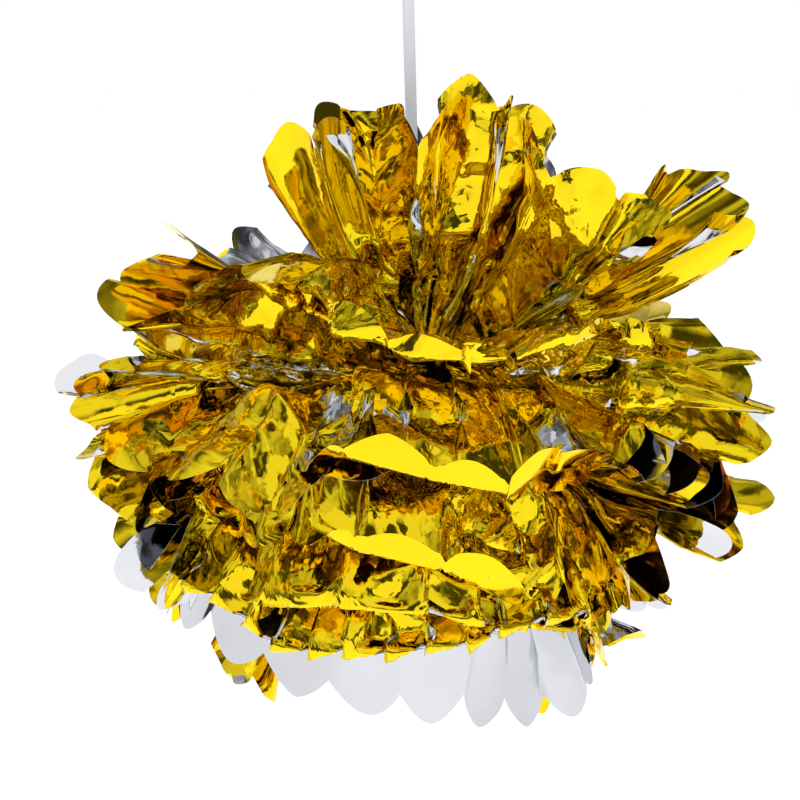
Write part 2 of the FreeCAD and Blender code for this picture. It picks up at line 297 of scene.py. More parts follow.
# Each fan is one half of a sheet, listed from the top sheet to the bottom one.  A table in
# braces gives values at some fold lines or petals; those between them get values in between.
#   tips: (x, z, reach) of each fold line's tip, with x and z in millimetres from the middle of
#     the waist as the viewer sees them, and reach as a share of the fan radius
#   bend, flap: (start, width, table of degrees) along the film, as shares of its length; bend
#     is soft, flap is a crisp fold that leaves the petal's end flat
#   zigzag: share of the spare width that goes into ridges and valleys at the fold lines
#   depth: how deep the notches between the petals are
#   loose: how far chance moves the folds, petals and bends
#   overlap: how much wider than the gap between its fold lines a panel may be
#   cover: share of the full width that the small gathers make up
#   curl: how far a petal's tip curls or twists
#   rough: how crumpled a petal is; smooth_from: where along it that starts to count
#   flap_rough: how crumpled the flaps are
#   calm: (start, table) of how much lap and crumple is left past start
#   up: the face that is seen from above, or both gold
FRONT_FANS = [
    dict(
        tips={
            0: (-73, 101, 0.84), 1: (-50, 110, 0.84), 2: (-32, 114, 0.84), 3: (-27, 124, 0.84),
            4: (-3, 108, 0.80), 5: (3, 131, 0.88), 6: (31, 131, 0.90), 7: (33, 116, 0.84),
            8: (54, 113, 0.84), 9: (56, 98, 0.86), 10: (88, 90, 0.92), 11: (92, 66, 0.88),
            12: (98, 76, 0.86), 13: (112, 98, 0.97), 14: (128, 94, 1.02), 15: (134, 70, 1.0),
            16: (145, 60, 1.02),
        },
        bend=(0.3, 0.6, {0: 6, 6: 16, 10: 14, 13: 0}),
        zigzag=0.3,
        curl={0: 0.05, 2: 0.1, 4: 0.04, 12: 0.04, 14: 0.1},
        rough={0: 0.06, 2: 0.06, 3: 0.1, 4: 0.7, 9: 0.7, 12: 0.3, 13: 0.1, 14: 0.02, 16: 0.02},
        smooth_from=0.38,
        overlap=1.3,
        up="silver",
    ),
    dict(
        tips={
            0: (-118, 78, 0.91), 1: (-106, 60, 0.90), 2: (-127, 64, 0.94), 3: (-142, 50, 0.98),
            4: (-136, 24, 0.94), 5: (-108, 30, 0.88), 6: (-82, 50, 0.86), 7: (-54, 46, 0.84),
            8: (-40, 40, 0.84), 9: (-14, 28, 0.84), 10: (12, 20, 0.84), 11: (33, 17, 0.84),
            12: (58, 32, 0.84), 13: (80, 34, 0.84), 14: (99, 12, 0.88), 15: (119, 16, 0.98),
            16: (139, -9, 0.93),
        },
        bend=(0.4, 0.4, {0: 0, 4: -20, 5: -50, 7: -60, 8: -30, 13: -30, 16: -30}),
        flap=(0.88, 0.03, {7: 0, 8: 85, 9: 95, 10: 70, 11: 55, 12: 80, 13: 85, 14: 0}),
        flap_rough=1.0,
        depth={0: 1, 7: 1, 8: 0.45, 13: 0.45, 15: 1},
        curl={0: 0.06, 4: 0.03, 7: 0.0, 16: 0.02},
        rough={0: 0.05, 3: 0.06, 4: 0.15, 5: 0.35, 7: 0.45, 8: 0.9, 13: 0.8, 14: 0.15, 15: 0.08},
        up="both gold",
    ),
    dict(
        tips={
            0: (-141, 32, 0.94), 1: (-133, 20, 0.91), 2: (-150, 13, 0.99), 3: (-154, -6, 1.0),
            4: (-148, -20, 0.98), 5: (-118, -44, 0.97), 6: (-90, -44, 0.94), 7: (-68, -54, 0.93),
            8: (-40, -38, 0.89), 9: (-12, -34, 0.88), 10: (14, -36, 0.88), 11: (40, -40, 0.88),
            12: (72, -38, 0.88), 13: (98, -20, 0.95), 14: (104, -50, 1.0), 15: (124, -24, 1.0),
            16: (131, -62, 0.95),
        },
        bend=(0.35, 0.45, {0: 0, 4: -10, 6: -55, 12: -55, 13: -10, 16: 0}),
        depth={0: 1, 7: 1, 8: 0.5, 12: 0.5, 13: 1},
        curl={0: 0.08, 5: 0.0, 13: 0.0, 16: 0.06},
        rough={0: 0.1, 4: 0.15, 5: 0.45, 7: 0.8, 8: 1.0, 12: 0.9, 13: 0.1, 16: 0.06},
        up="gold",
    ),
    dict(
        tips={
            0: (-126, -34, 0.88), 1: (-120, -40, 0.86), 2: (-112, -38, 0.84), 3: (-104, -44, 0.84),
            4: (-92, -40, 0.84), 5: (-78, -44, 0.84), 6: (-58, -40, 0.86), 7: (-35, -11, 0.93),
            8: (2, -22, 0.93), 9: (37, -28, 0.93), 10: (58, -25, 0.93), 11: (78, -24, 0.93),
            12: (90, -48, 0.96), 13: (112, -24, 1.0), 14: (115, -56, 1.0), 15: (132, -30, 1.02),
            16: (137, -62, 0.98),
        },
        bend=(0.35, 0.45, {0: 0, 3: -10, 5: -40, 12: -30, 14: 0}),
        flap=(0.87, 0.02, {6: 0, 7: 92, 8: 108, 9: 100, 10: 75, 11: 50, 12: 0}),
        depth={0: 1, 9: 1, 10: 0.5, 12: 1},
        flap_rough=0.06,
        curl={0: 0.08, 5: 0.02, 12: 0.0, 16: 0.06},
        rough={0: 0.3, 5: 0.5, 7: 0.9, 11: 0.4, 12: 0.05, 16: 0.08},
        up="silver",
    ),
    dict(
        tips={
            0: (-152, -34, 1.02), 1: (-141, -50, 1.0), 2: (-128, -42, 0.97), 3: (-116, -56, 0.96),
            4: (-104, -50, 0.92), 5: (-84, -66, 0.93), 6: (-56, -68, 0.93), 7: (-30, -47, 0.94),
            8: (8, -60, 0.95), 9: (46, -76, 0.96), 10: (54, -100, 0.95), 11: (66, -103, 0.95),
            12: (81, -104, 0.97), 13: (88, -78, 0.93), 14: (100, -64, 0.90), 15: (120, -56, 0.92),
            16: (142, -46, 0.97),
        },
        bend=(0.35, 0.5, {0: 0, 3: -10, 5: -60, 12: -55, 14: 0}),
        flap=(0.87, 0.02, {6: 0, 7: 135, 8: 145, 9: 138, 10: 0}),
        flap_rough=0.04,
        curl={0: 0.08, 4: 0.02, 13: 0.02, 16: 0.06},
        rough={0: 0.3, 4: 0.7, 12: 0.9, 14: 0.15, 16: 0.15},
        up="both gold",
    ),
    dict(
        tips={
            0: (-138, -91, 1.06), 1: (-124, -66, 0.97), 2: (-120, -92, 1.0), 3: (-111, -60, 0.94),
            4: (-98, -70, 0.95), 6: (-60, -78, 0.96), 8: (0, -80, 0.96), 10: (36, -84, 0.97),
            11: (62, -90, 0.97), 12: (84, -78, 0.95), 13: (112, -95, 1.03), 14: (110, -62, 0.98),
            15: (133, -82, 1.03), 16: (139, -62, 0.99),
        },
        bend=(0.3, 0.5, {0: 0, 4: -50, 11: -50, 13: 0}),
        flap=(0.89, 0.01, {3: 0, 4: -150, 11: -150, 12: 0}),
        curl={0: 0.08, 4: 0.02, 12: 0.02, 16: 0.06},
        rough={0: 0.15, 3: 0.2, 4: 0.8, 11: 0.9, 12: 0.08, 16: 0.1},
        up="gold",
    ),
    dict(
        tips={
            0: (-104, -72, 0.99), 2: (-96, -70, 0.98), 4: (-75, -80, 0.97), 6: (-53, -95, 0.97),
            8: (-27, -97, 0.96), 10: (0, -96, 0.96), 12: (25, -89, 0.96), 14: (54, -85, 0.98),
            16: (62, -104, 1.0),
        },
        bend=(0.3, 0.4, {0: -30, 16: -30}),
        flap=(0.89, 0.01, {0: -150, 16: -150}),
        zigzag=0.12,
        loose=0.4,
        curl={0: 0.0},
        rough={0: 0.8, 16: 0.8},
        up="gold",
    ),
    dict(
        tips={
            0: (-108, -92, 0.95), 1: (-114, -88, 0.97), 2: (-104, -100, 0.96), 3: (-110, -96, 0.97),
            4: (-112, -100, 0.98), 5: (-100, -110, 0.96), 6: (-74, -129, 0.95), 7: (-41, -137, 0.94),
            8: (-9, -140, 0.94), 9: (14, -142, 0.94), 10: (32, -140, 0.95), 11: (50, -139, 0.96),
            12: (70, -130, 0.97), 13: (68, -108, 0.92), 14: (76, -114, 0.92), 15: (70, -100, 0.90),
            16: (80, -106, 0.92),
        },
        bend=(0.3, 0.3, {0: -40, 5: -50, 9: -50, 12: -20, 16: -30}),
        zigzag=0.0,
        loose=0.15,
        calm=(0.55, {0: 0.4, 4: 0.2, 5: 0.04, 9: 0.04, 10: 0.2, 16: 0.5}),
        overlap=2.4,
        cover=0.7,
        curl={0: 0.03, 5: 0.0, 9: 0.0, 16: 0.05},
        rough={0: 0.3, 16: 0.3},
        up="silver",
    ),
]
BACK_FANS = [
    dict(
        tips={
            0: (-62, 90, 0.73), 2: (-48, 98, 0.76), 4: (-30, 108, 0.77), 6: (-14, 104, 0.76),
            8: (2, 98, 0.75), 10: (22, 104, 0.76), 12: (42, 98, 0.77), 14: (58, 84, 0.76),
            16: (82, 74, 0.74),
        },
        overlap=2.2,
        cover=0.6,
        up="silver",
    ),
    dict(
        tips={
            0: (-114, 72, 0.89), 1: (-98, 60, 0.86), 2: (-84, 66, 0.88), 3: (-78, 50, 0.84),
            4: (-70, 72, 0.86), 5: (-56, 56, 0.82), 6: (-40, 80, 0.86), 8: (0, 84, 0.86),
            10: (40, 82, 0.86), 12: (68, 74, 0.86), 13: (82, 60, 0.88), 14: (96, 72, 0.90),
            15: (110, 92, 0.97), 16: (124, 84, 0.97),
        },
        up="silver",
    ),
    dict(
        tips={
            0: (-138, 44, 1.0), 1: (-128, 36, 0.97), 2: (-116, 30, 0.96), 4: (-90, 26, 0.95),
            8: (0, 50, 0.95), 12: (84, 36, 0.95), 13: (104, 22, 0.95), 14: (124, 34, 0.96),
            15: (136, 8, 1.0), 16: (152, 28, 1.02),
        },
        bend=(0.4, 0.5, {0: 0, 4: -35, 12: -35, 16: 0}),
        up="gold",
    ),
    dict(
        tips={
            0: (-152, 10, 1.0), 1: (-168, -10, 1.09), 2: (-140, 0, 0.98), 4: (-108, 4, 0.98),
            8: (0, 14, 1.0), 12: (100, 6, 0.98), 13: (118, 0, 0.98), 14: (140, 12, 0.98),
            15: (146, -2, 1.0), 16: (156, 4, 1.02),
        },
        bend=(0.4, 0.5, {0: 0, 4: -30, 12: -30, 16: 0}),
        up="gold",
    ),
    dict(
        tips={
            0: (-156, -16, 1.02), 2: (-138, -16, 0.98), 4: (-108, -24, 0.98), 8: (0, -28, 1.0),
            12: (104, -24, 0.98), 14: (138, -12, 0.98), 15: (153, -12, 1.0), 16: (160, -28, 1.04),
        },
        bend=(0.4, 0.5, {0: 0, 4: -30, 12: -30, 16: 0}),
        up="gold",
    ),
    dict(
        tips={
            0: (-142, -60, 1.0), 2: (-124, -52, 0.98), 4: (-96, -62, 0.98), 8: (0, -66, 1.0),
            12: (100, -64, 0.98), 14: (128, -48, 0.98), 15: (146, -44, 1.0), 16: (156, -46, 1.04),
        },
        up="gold",
    ),
    dict(
        tips={
            0: (-130, -92, 1.02), 2: (-108, -84, 0.98), 4: (-78, -100, 0.98), 8: (0, -102, 1.0),
            12: (64, -98, 0.98), 14: (88, -90, 0.92), 16: (108, -92, 0.92),
        },
        overlap=1.6,
        up="gold",
    ),
    dict(
        tips={
            0: (-96, -126, 1.02), 1: (-88, -118, 1.0), 2: (-76, -126, 0.98), 4: (-56, -120, 0.98),
            8: (0, -124, 0.98), 12: (46, -124, 0.98), 14: (66, -116, 0.94), 16: (84, -108, 0.90),
        },
        up="silver",
    ),
]

FOLDS = np.arange(PLEATS + 1)
PETALS = np.arange(PLEATS) + 0.5
FLAT_FLAP = (0.86, 0.02, {0: 0})
FACET_STRETCH = 1.2
FACET_SIZES = ((0.0170, 0.7), (0.0075, 0.32))  # (spacing, height as a share of it)

# Share of its distance behind the middle plane that each fold line of a back fan keeps.  The end
# ones are drawn to the front half, or just past the plane, to close the ball at its sides.
BACK_TUCK = {0: -0.3, 1: 0.2, 2: 0.55, 3: 0.8, 4: 1, 12: 1, 13: 0.8, 14: 0.55, 15: 0.2, 16: -0.3}

# Points along a fold line where its course is worked out.
FINE = np.linspace(0, 1, 241)


def between(table, index):
    """Values for every index from a table that names some of them."""
    known = sorted(table)
    values = np.array([table[key] for key in known], float)
    if values.ndim == 1:
        return np.interp(index, known, values)
    return np.stack([np.interp(index, known, column) for column in values.T], axis=-1)


def bent_course(bends, length):
    """A fold line in its own upright plane: out along x, up along z, from its bends."""
    slope = np.zeros_like(FINE)
    for start, width, degrees in bends:
        share = np.clip((FINE - start) / width, 0, 1)
        slope += math.radians(degrees) * share * share * (3 - 2 * share)
    middle = (slope[1:] + slope[:-1]) / 2
    run = np.concatenate([[0], np.cumsum(np.cos(middle))])
    rise = np.concatenate([[0], np.cumsum(np.sin(middle))])
    return np.stack([run, rise], axis=-1) * length / (len(FINE) - 1)


def seen_place(seen, distance, side):
    """The point at this distance from the waist that the viewer sees at seen (x, z)."""
    widest = distance * 0.985
    out = 0.0
    for _ in range(6):
        nearer = -side * out
        grown = 1 - nearer / CAMERA_DISTANCE
        x = seen[0] * grown
        z = seen[1] * grown / math.cos(CAMERA_LIFT) + nearer * math.tan(CAMERA_LIFT)
        flat = math.hypot(x, z)
        if flat > widest:
            x, z = x * widest / flat, z * widest / flat
        out = math.sqrt(distance**2 - x * x - z * z)
    return x, z, out


def fold_courses(fan, side, number, loose, rng):
    """The fold lines of a fan, as points along each, seen from the middle of its hinge."""
    tips = between(fan["tips"], FOLDS)
    tips = tips + rng.normal(0, 1.5, tips.shape) * [1, 1, 0] * loose
    bend_start, bend_width, bend_table = fan.get("bend", (0.5, 0.4, {0: 0}))
    flap_start, flap_width, flap_table = fan.get("flap", FLAT_FLAP)
    bends = between(bend_table, FOLDS) + rng.normal(0, 5, PLEATS + 1) * loose
    flaps = between(flap_table, FOLDS)
    height = ((SHEETS + 1) / 2 - number) * WAIST_SIZE[2]
    tuck = between(BACK_TUCK if side == 1 else {0: 1}, FOLDS)

    courses, chords = [], []
    for fold in FOLDS:
        length = FAN_RADIUS * tips[fold, 2]
        course = bent_course(
            [(bend_start, bend_width, bends[fold]), (flap_start, flap_width, flaps[fold])],
            length,
        )
        chord = np.hypot(*course[-1])
        x, z, out = seen_place(tips[fold, :2] / 1000, chord, side)
        fit = math.hypot(x, z, out * tuck[fold]) / math.hypot(x, z, out)
        course = course * fit
        tips[fold, 2] *= fit
        z, out = z - height, out * tuck[fold] - HINGE_OFFSET
        turn = math.atan2(x, out)
        lift = math.atan2(z, math.hypot(x, out))
        courses.append(course)
        chords.append((turn, lift, math.atan2(course[-1][1], course[-1][0])))
    chords = np.array(chords)

    # The spare width between neighbouring fold lines goes into ridges and valleys.
    turn, lift = chords[:, 0], chords[:, 1]
    rays = ray(turn, lift, side)
    gap = np.arccos(np.clip((rays[1:] * rays[:-1]).sum(axis=1), -1, 1))
    rise = np.sqrt(np.clip(PANEL_ANGLE**2 - gap**2, 0, None)) * fan.get("zigzag", 0.5)
    half = np.concatenate([rise[:1], (rise[1:] + rise[:-1]) / 2, rise[-1:]]) / 2
    across = unit(np.cross(rays, unit(np.gradient(rays, axis=0))))
    ridge = np.where(FOLDS % 2 == 0, 1, -1)
    lines = []
    for fold in FOLDS:
        plane_lift = lift[fold] - chords[fold, 2]
        out = ray(turn[fold], plane_lift, side)
        up = ray(turn[fold], plane_lift + math.pi / 2, side)
        line = courses[fold][:, :1] * out + courses[fold][:, 1:] * up
        along = np.linalg.norm(line, axis=1)[:, None]
        lines.append(line + across[fold] * ridge[fold] * half[fold] * along)
    return np.stack(lines), tips[:, 2], flaps


def ray(turn, lift, side):
    """Unit vector from an azimuth off straight ahead and a lift above level."""
    return np.stack(
        [np.sin(turn) * np.cos(lift), side * np.cos(turn) * np.cos(lift), np.sin(lift)],
        axis=-1,
    )


def facets(places, rng, spacing, stretch, slope):
    """Height of crumpled film: flat triangles between scattered points of random height."""
    flat = places.reshape(-1, 2) / [1, stretch]
    low, high = flat.min(axis=0) - spacing, flat.max(axis=0) + spacing
    counts = np.ceil((high - low) / spacing).astype(int) + 1
    grid = np.stack(np.meshgrid(*[np.arange(count) for count in counts], indexing="ij"), axis=-1)
    points = low + (grid.reshape(-1, 2) + rng.uniform(-0.48, 0.48, (grid.size // 2, 2))) * spacing
    heights = rng.uniform(-0.5, 0.5, len(points)) * spacing * slope
    corners, _, triangles, origin, _, _ = delaunay_2d_cdt(
        [Vector(point) for point in points], [], [], 0, 1e-9
    )
    corners = np.array([tuple(corner) for corner in corners])
    levels = np.array([heights[source[0]] for source in origin])
    result = np.zeros(len(flat))
    order = np.argsort(flat[:, 1])
    sorted_v = flat[order, 1]
    for triangle in triangles:
        one, two, three = corners[list(triangle)]
        first = np.searchsorted(sorted_v, min(one[1], two[1], three[1]))
        last = np.searchsorted(sorted_v, max(one[1], two[1], three[1]))
        near = order[first:last]
        offset = flat[near] - one
        edge, other = two - one, three - one
        cross = edge[0] * other[1] - edge[1] * other[0]
        if abs(cross) < 1e-14:
            continue
        s = (offset[:, 0] * other[1] - offset[:, 1] * other[0]) / cross
        t = (edge[0] * offset[:, 1] - edge[1] * offset[:, 0]) / cross
        inside = (s >= -1e-6) & (t >= -1e-6) & (s + t <= 1 + 1e-6)
        base, rise, other_rise = levels[list(triangle)]
        hit = near[inside]
        result[hit] = base + s[inside] * (rise - base) + t[inside] * (other_rise - base)
    return result.reshape(places.shape[:-1])


def lap(points, sideways, within, spread, sign):
    """Panels kept at their full width, each one lapping over the next like a shingle."""
    low = (LAP_EDGE - 0.5) * spread + 0.5
    inner = (within - 0.5) * spread + 0.5
    moved = np.where(within < LAP_EDGE, low * within / LAP_EDGE, inner)
    moved = np.where(within > 1 - LAP_EDGE, 1 - low * (1 - within) / LAP_EDGE, moved)
    tilt = np.interp(within, [0, LAP_EDGE, 1 - LAP_EDGE, 1], [0, -1, 1, 0])
    raised = sign * tilt * LAP_HEIGHT * np.clip((spread - 1) / 0.5, 0, 1)
    normal = surface_normals(points)
    return points + sideways * (moved - within)[:, :, None] + normal * raised[:, :, None]


def gathers(across, widths, cover, rng):
    """Small pleats that take up the film's spare width where its fold lines run together."""
    count = PLEATS * SMALL_PLEATS
    places = np.linspace(0, 1, count + 1) + rng.uniform(-0.3, 0.3, count + 1) / count
    heights = np.where(np.arange(count + 1) % 2 == 0, 1, -1) * rng.uniform(0.6, 1.15, count + 1)
    spare = (cover * PANEL_WIDTH) ** 2 - widths**2
    rise = np.sqrt(np.clip(spare, 0, None)) / SMALL_PLEATS / 2
    return rise * np.interp(across, places, heights)[None, :]


def per_petal(values, across):
    """A value for each column from one value for each petal, changing at the fold lines."""
    position = across * PLEATS - 0.5
    base = np.clip(np.floor(position).astype(int), 0, PLEATS - 2)
    share = np.clip((position - base - 0.5) * 4 + 0.5, 0, 1)
    return values[base] * (1 - share) + values[base + 1] * share


def surface_normals(points):
    """Unit normals of a grid of points, by central differences."""
    normal = np.cross(np.gradient(points, axis=1), np.gradient(points, axis=0))
    size = np.linalg.norm(normal, axis=-1, keepdims=True)
    return normal / np.maximum(size, 1e-12)


def film_mesh(name, points, normals, faces_up, side):
    """Two skins of one film with a thin edge between them."""
    rows, columns = points.shape[:2]
    sign = side if faces_up != "silver" else -side
    gold = points + normals * (sign * FILM / 2)
    silver = points - normals * (sign * FILM / 2)
    faces = grid_faces(rows, columns)
    count = rows * columns
    front = faces if sign == 1 else [(a, d, c, b) for a, b, c, d in faces]
    back = [(a + count, d + count, c + count, b + count) for a, b, c, d in front]
    rim = [i * columns for i in range(rows)]
    rim += [(rows - 1) * columns + j for j in range(1, columns)]
    rim += [i * columns + columns - 1 for i in range(rows - 2, -1, -1)]
    rim += [j for j in range(columns - 2, 0, -1)]
    loop = list(zip(rim, rim[1:] + rim[:1]))
    if sign == -1:
        loop = [(b, a) for a, b in loop]
    edge = [(b, a, a + count, b + count) for a, b in loop]
    vertices = np.concatenate([gold.reshape(-1, 3), silver.reshape(-1, 3)])
    film = new_object(name, vertices, front + back + edge, [GOLD, SILVER])
    other = 0 if faces_up == "both gold" else 1
    slots = [0] * len(front) + [other] * (len(back) + len(edge))
    film.data.polygons.foreach_set("material_index", slots)
    smooth = [True] * (len(front) + len(back)) + [False] * len(edge)
    film.data.polygons.foreach_set("use_smooth", smooth)
    sharp = film.data.attributes.new("sharp_edge", "BOOLEAN", "EDGE")
    on_rim = np.zeros(count * 2, bool)
    on_rim[np.array(rim)] = True
    on_rim[np.array(rim) + count] = True
    ends = np.zeros(len(film.data.edges) * 2, int)
    film.data.edges.foreach_get("vertices", ends)
    sharp.data.foreach_set("value", on_rim[ends].reshape(-1, 2).all(axis=1))
    return film


def petal_ends(fan, panel, within, across, loose, rng):
    """How far along the film each column ends: notches between the petals, and short petals."""
    depth = 1 + loose * np.clip(rng.normal(0, 0.25, PLEATS), -0.45, 0.45)
    depth *= TIP_DEPTH / FAN_RADIUS * between(fan.get("depth", {0: 1}), PETALS)
    notch = depth[panel] * np.abs(2 * within - 1) ** rng.uniform(1.4, 2.0, PLEATS)[panel]
    short = loose * np.clip(rng.normal(0.01, 0.02, PLEATS), 0, 0.06)
    return 1 - notch - per_petal(short, across)


def panel_edges(lines, panel, shares):
    """The points on a panel's two fold lines that are as far out as each point of the grid."""
    at = shares * (len(FINE) - 1)
    low = np.minimum(at.astype(int), len(FINE) - 2)
    part = (at - low)[:, :, None]
    near = lines[panel[None, :], low] * (1 - part) + lines[panel[None, :], low + 1] * part
    far = lines[panel[None, :] + 1, low] * (1 - part) + lines[panel[None, :] + 1, low + 1] * part
    return near, far


def curled(fan, shares, panel, within, across, flapped, loose, rng):
    """How far the film stands off its flat panels: bellies, and tips that curl or twist."""
    free = np.where(flapped, 0.0, 1.0)[None, :]
    belly = rng.normal(0, 0.003, PLEATS) * loose
    arch = np.sin(math.pi * within)[None, :] * belly[panel][None, :]
    sizes = between(fan.get("curl", {0: 0.07}), PETALS)
    curls = rng.normal(0, 1, PLEATS) * sizes
    tip = np.clip((shares - 0.62) / 0.38, 0, 1) ** 2
    curl = per_petal(curls, across)[None, :] * FAN_RADIUS * tip * free
    twists = rng.normal(0, 0.6, PLEATS) * sizes
    twist = twists[panel][None, :] * (2 * within - 1)[None, :] * FAN_RADIUS
    return arch * np.clip(shares * 2, 0, 1) * free + curl + twist * tip * free


def gathered_places(widths, distance, panel, within, per_panel):
    """Where each point lies on the gathered film: across from its middle, and from the waist."""
    at_folds = np.concatenate([[0], np.arange(PLEATS) * per_panel + per_panel // 2])
    totals = np.cumsum(np.where(FOLDS > 0, widths[:, at_folds], 0), axis=1)
    sideways = totals[:, panel] + within[None, :] * widths - totals[:, -1:] / 2
    return np.stack([sideways, distance], axis=-1)


def crumple_amounts(fan, shares, across, flapped, rng):
    """How crumpled the film is: fully near the waist, less at some petals and at the flaps."""
    rough = between(fan.get("rough", {0: 0.15}), PETALS) * (1 + rng.normal(0, 0.25, PLEATS))
    tipness = np.clip((shares - fan.get("smooth_from", 0.5)) / 0.25, 0, 1)
    amount = (1 - tipness) + tipness * per_petal(np.clip(rough, 0.02, 1), across)[None, :]
    amount = amount * np.clip(shares / 0.12, 0, 1)
    on_flap = flapped[None, :] & (shares > fan.get("flap", FLAT_FLAP)[0] - 0.02)
    return np.where(on_flap, fan.get("flap_rough", 0.0), amount)


def lay_out(film, places, amount, mark):
    """What the foil material reads at each point: its crumpling and its place on the film."""
    crumple = film.data.attributes.new("crumple", "FLOAT", "POINT")
    crumple.data.foreach_set("value", np.tile(amount.ravel(), 2).astype(np.float32))
    flat_place = np.concatenate(
        [places.reshape(-1, 2), np.full((places.size // 2, 1), mark)], axis=1
    )
    laid_out = film.data.attributes.new("film_place", "FLOAT_VECTOR", "POINT")
    laid_out.data.foreach_set("vector", np.tile(flat_place, (2, 1)).ravel().astype(np.float32))


def make_fan(side_name, number, fan):
    """One half sheet of film: fold lines, petals, laps, bellies and curls, then crumples."""
    side = -1 if side_name == "front" else 1
    rng = np.random.default_rng(1000 * (side + 2) + number)
    per_panel, rows = (16, 88) if side_name == "front" else (10, 48)
    across = np.linspace(0, 1, PLEATS * per_panel + 1)
    panel = np.minimum((across * PLEATS).astype(int), PLEATS - 1)
    within = across * PLEATS - panel

    loose = fan.get("loose", 1.0)
    lines, reaches, flaps = fold_courses(fan, side, number, loose, rng)
    end = petal_ends(fan, panel, within, across, loose, rng)
    shares = np.linspace(0, 1, rows)[:, None] * end[None, :]
    near, far = panel_edges(lines, panel, shares)
    mix = within[None, :, None]
    points = near * (1 - mix) + far * mix
    widths = np.linalg.norm(far - near, axis=2)

    calm_start, calm_table = fan.get("calm", (1.0, {0: 1}))
    calm = np.where(shares > calm_start, between(calm_table, across * PLEATS)[None, :], 1.0)
    most = fan.get("overlap", MOST_OVERLAP)
    spread = np.clip(PANEL_WIDTH / np.maximum(widths, 1e-5), 1, most)
    spread = 1 + (spread - 1) * calm
    points = lap(points, far - near, within[None, :], spread, rng.choice([-1, 1]))
    points[:, :, 0] += (2 * across - 1)[None, :] * WAIST_SIZE[0] / 2 * (1 - shares)

    flapped = np.abs(np.interp(across * PLEATS, FOLDS, flaps)) > FLAP_ANGLE
    normal = surface_normals(points)
    raised = curled(fan, shares, panel, within, across, flapped, loose, rng)
    points = points + normal * raised[:, :, None]

    reach = FAN_RADIUS * np.interp(across * PLEATS, FOLDS, reaches)
    places = gathered_places(widths, shares * reach[None, :], panel, within, per_panel)
    amount = crumple_amounts(fan, shares, across, flapped, rng) * calm
    normal = surface_normals(points)
    height = sum(
        facets(places, rng, spacing, FACET_STRETCH, slope) for spacing, slope in FACET_SIZES
    )
    spare = gathers(across, widths * spread, fan.get("cover", 0.35), rng)
    spare = spare * calm * (1 - (1 - amount) * np.clip((shares - 0.35) / 0.2, 0, 0.8))
    points = points + normal * (height * amount + spare)[:, :, None]

    hinge = HUB + np.array([0, side * HINGE_OFFSET, ((SHEETS + 1) / 2 - number) * WAIST_SIZE[2]])
    points = points + hinge
    name = f"{side_name}_petals_{number}"
    film = film_mesh(name, points, surface_normals(points), fan["up"], side)
    lay_out(film, places, amount, number + 10.0 * side)
    node = f"{side_name}_fan_{number}"
    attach(film, node)
    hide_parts(node)


for number, fan in enumerate(FRONT_FANS, start=1):
    make_fan("front", number, fan)
for number, fan in enumerate(BACK_FANS, start=1):
    make_fan("back", number, fan)


# ---------------------------------------------------------------- ribbon, wire and waists


def wire(name, path, sides=10):
    """Round wire along a list of points."""
    path = np.array(path, float)
    tangent = unit(np.gradient(path, axis=0))
    side_way = unit(np.cross(tangent, [0.31, 0.87, 0.38]))
    other = np.cross(tangent, side_way)
    turns = np.linspace(0, 2 * math.pi, sides, endpoint=False)
    rings = [
        path + WIRE_RADIUS * (math.cos(a) * side_way + math.sin(a) * other) for a in turns
    ]
    points = np.stack(rings, axis=1)
    return new_object(name, points.reshape(-1, 3), tube_faces(len(path), sides), [WIRE])


def strip(name, path, widthways, width, cup):
    """Satin ribbon along a list of points, with its width along the given directions."""
    path = np.array(path, float)
    tangent = unit(np.gradient(path, axis=0))
    widthways = unit(np.array(widthways, float))
    facing = unit(np.cross(tangent, widthways))
    across = np.linspace(-1, 1, 7)
    ring = [(x, 1) for x in across] + [(x, -1) for x in across[::-1]]
    points = np.stack(
        [
            path
            + widthways * (x * width / 2)
            + facing * (face * RIBBON_THICKNESS / 2 + cup * (x * x - 0.3))
            for x, face in ring
        ],
        axis=1,
    )
    return new_object(name, points.reshape(-1, 3), tube_faces(len(path), len(ring)), [SATIN])


def spline_points(name, route):
    """Points along the smooth curve that a few control points give."""
    data = bpy.data.curves.new(name, "CURVE")
    data.dimensions = "3D"
    spline = data.splines.new("NURBS")
    spline.points.add(len(route) - 1)
    for point, place in zip(spline.points, route):
        point.co = (*place, 1)
    spline.order_u = 3
    spline.use_endpoint_u = True
    spline.resolution_u = 30
    curve = bpy.data.objects.new(name, data)
    mesh = bpy.data.meshes.new_from_object(curve)
    points = np.array([tuple(vertex.co) for vertex in mesh.vertices])
    bpy.data.objects.remove(curve)
    bpy.data.curves.remove(data)
    bpy.data.meshes.remove(mesh)
    return points


def make_ribbon():
    """The straight ribbon between the two knots, turning a little on its way up."""
    low, high = (np.array(corner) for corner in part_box("ribbon"))
    bottom = np.array([cad_box("ribbon_knot")[0][0], 0, low[2]])
    top = np.array([0.0, 0.0, high[2]])
    path = spline_points("ribbon_route", [bottom, (bottom + top) / 2, top])
    turn = 0.12 * np.sin(np.linspace(0, 7, len(path)))
    widthways = np.stack([np.cos(turn), np.sin(turn), 0 * turn], axis=1)
    ribbon = strip("satin_ribbon", path, widthways, RIBBON_WIDTH, 0.0003)
    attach(ribbon, "ribbon")
    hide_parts("ribbon")
    return ribbon, path


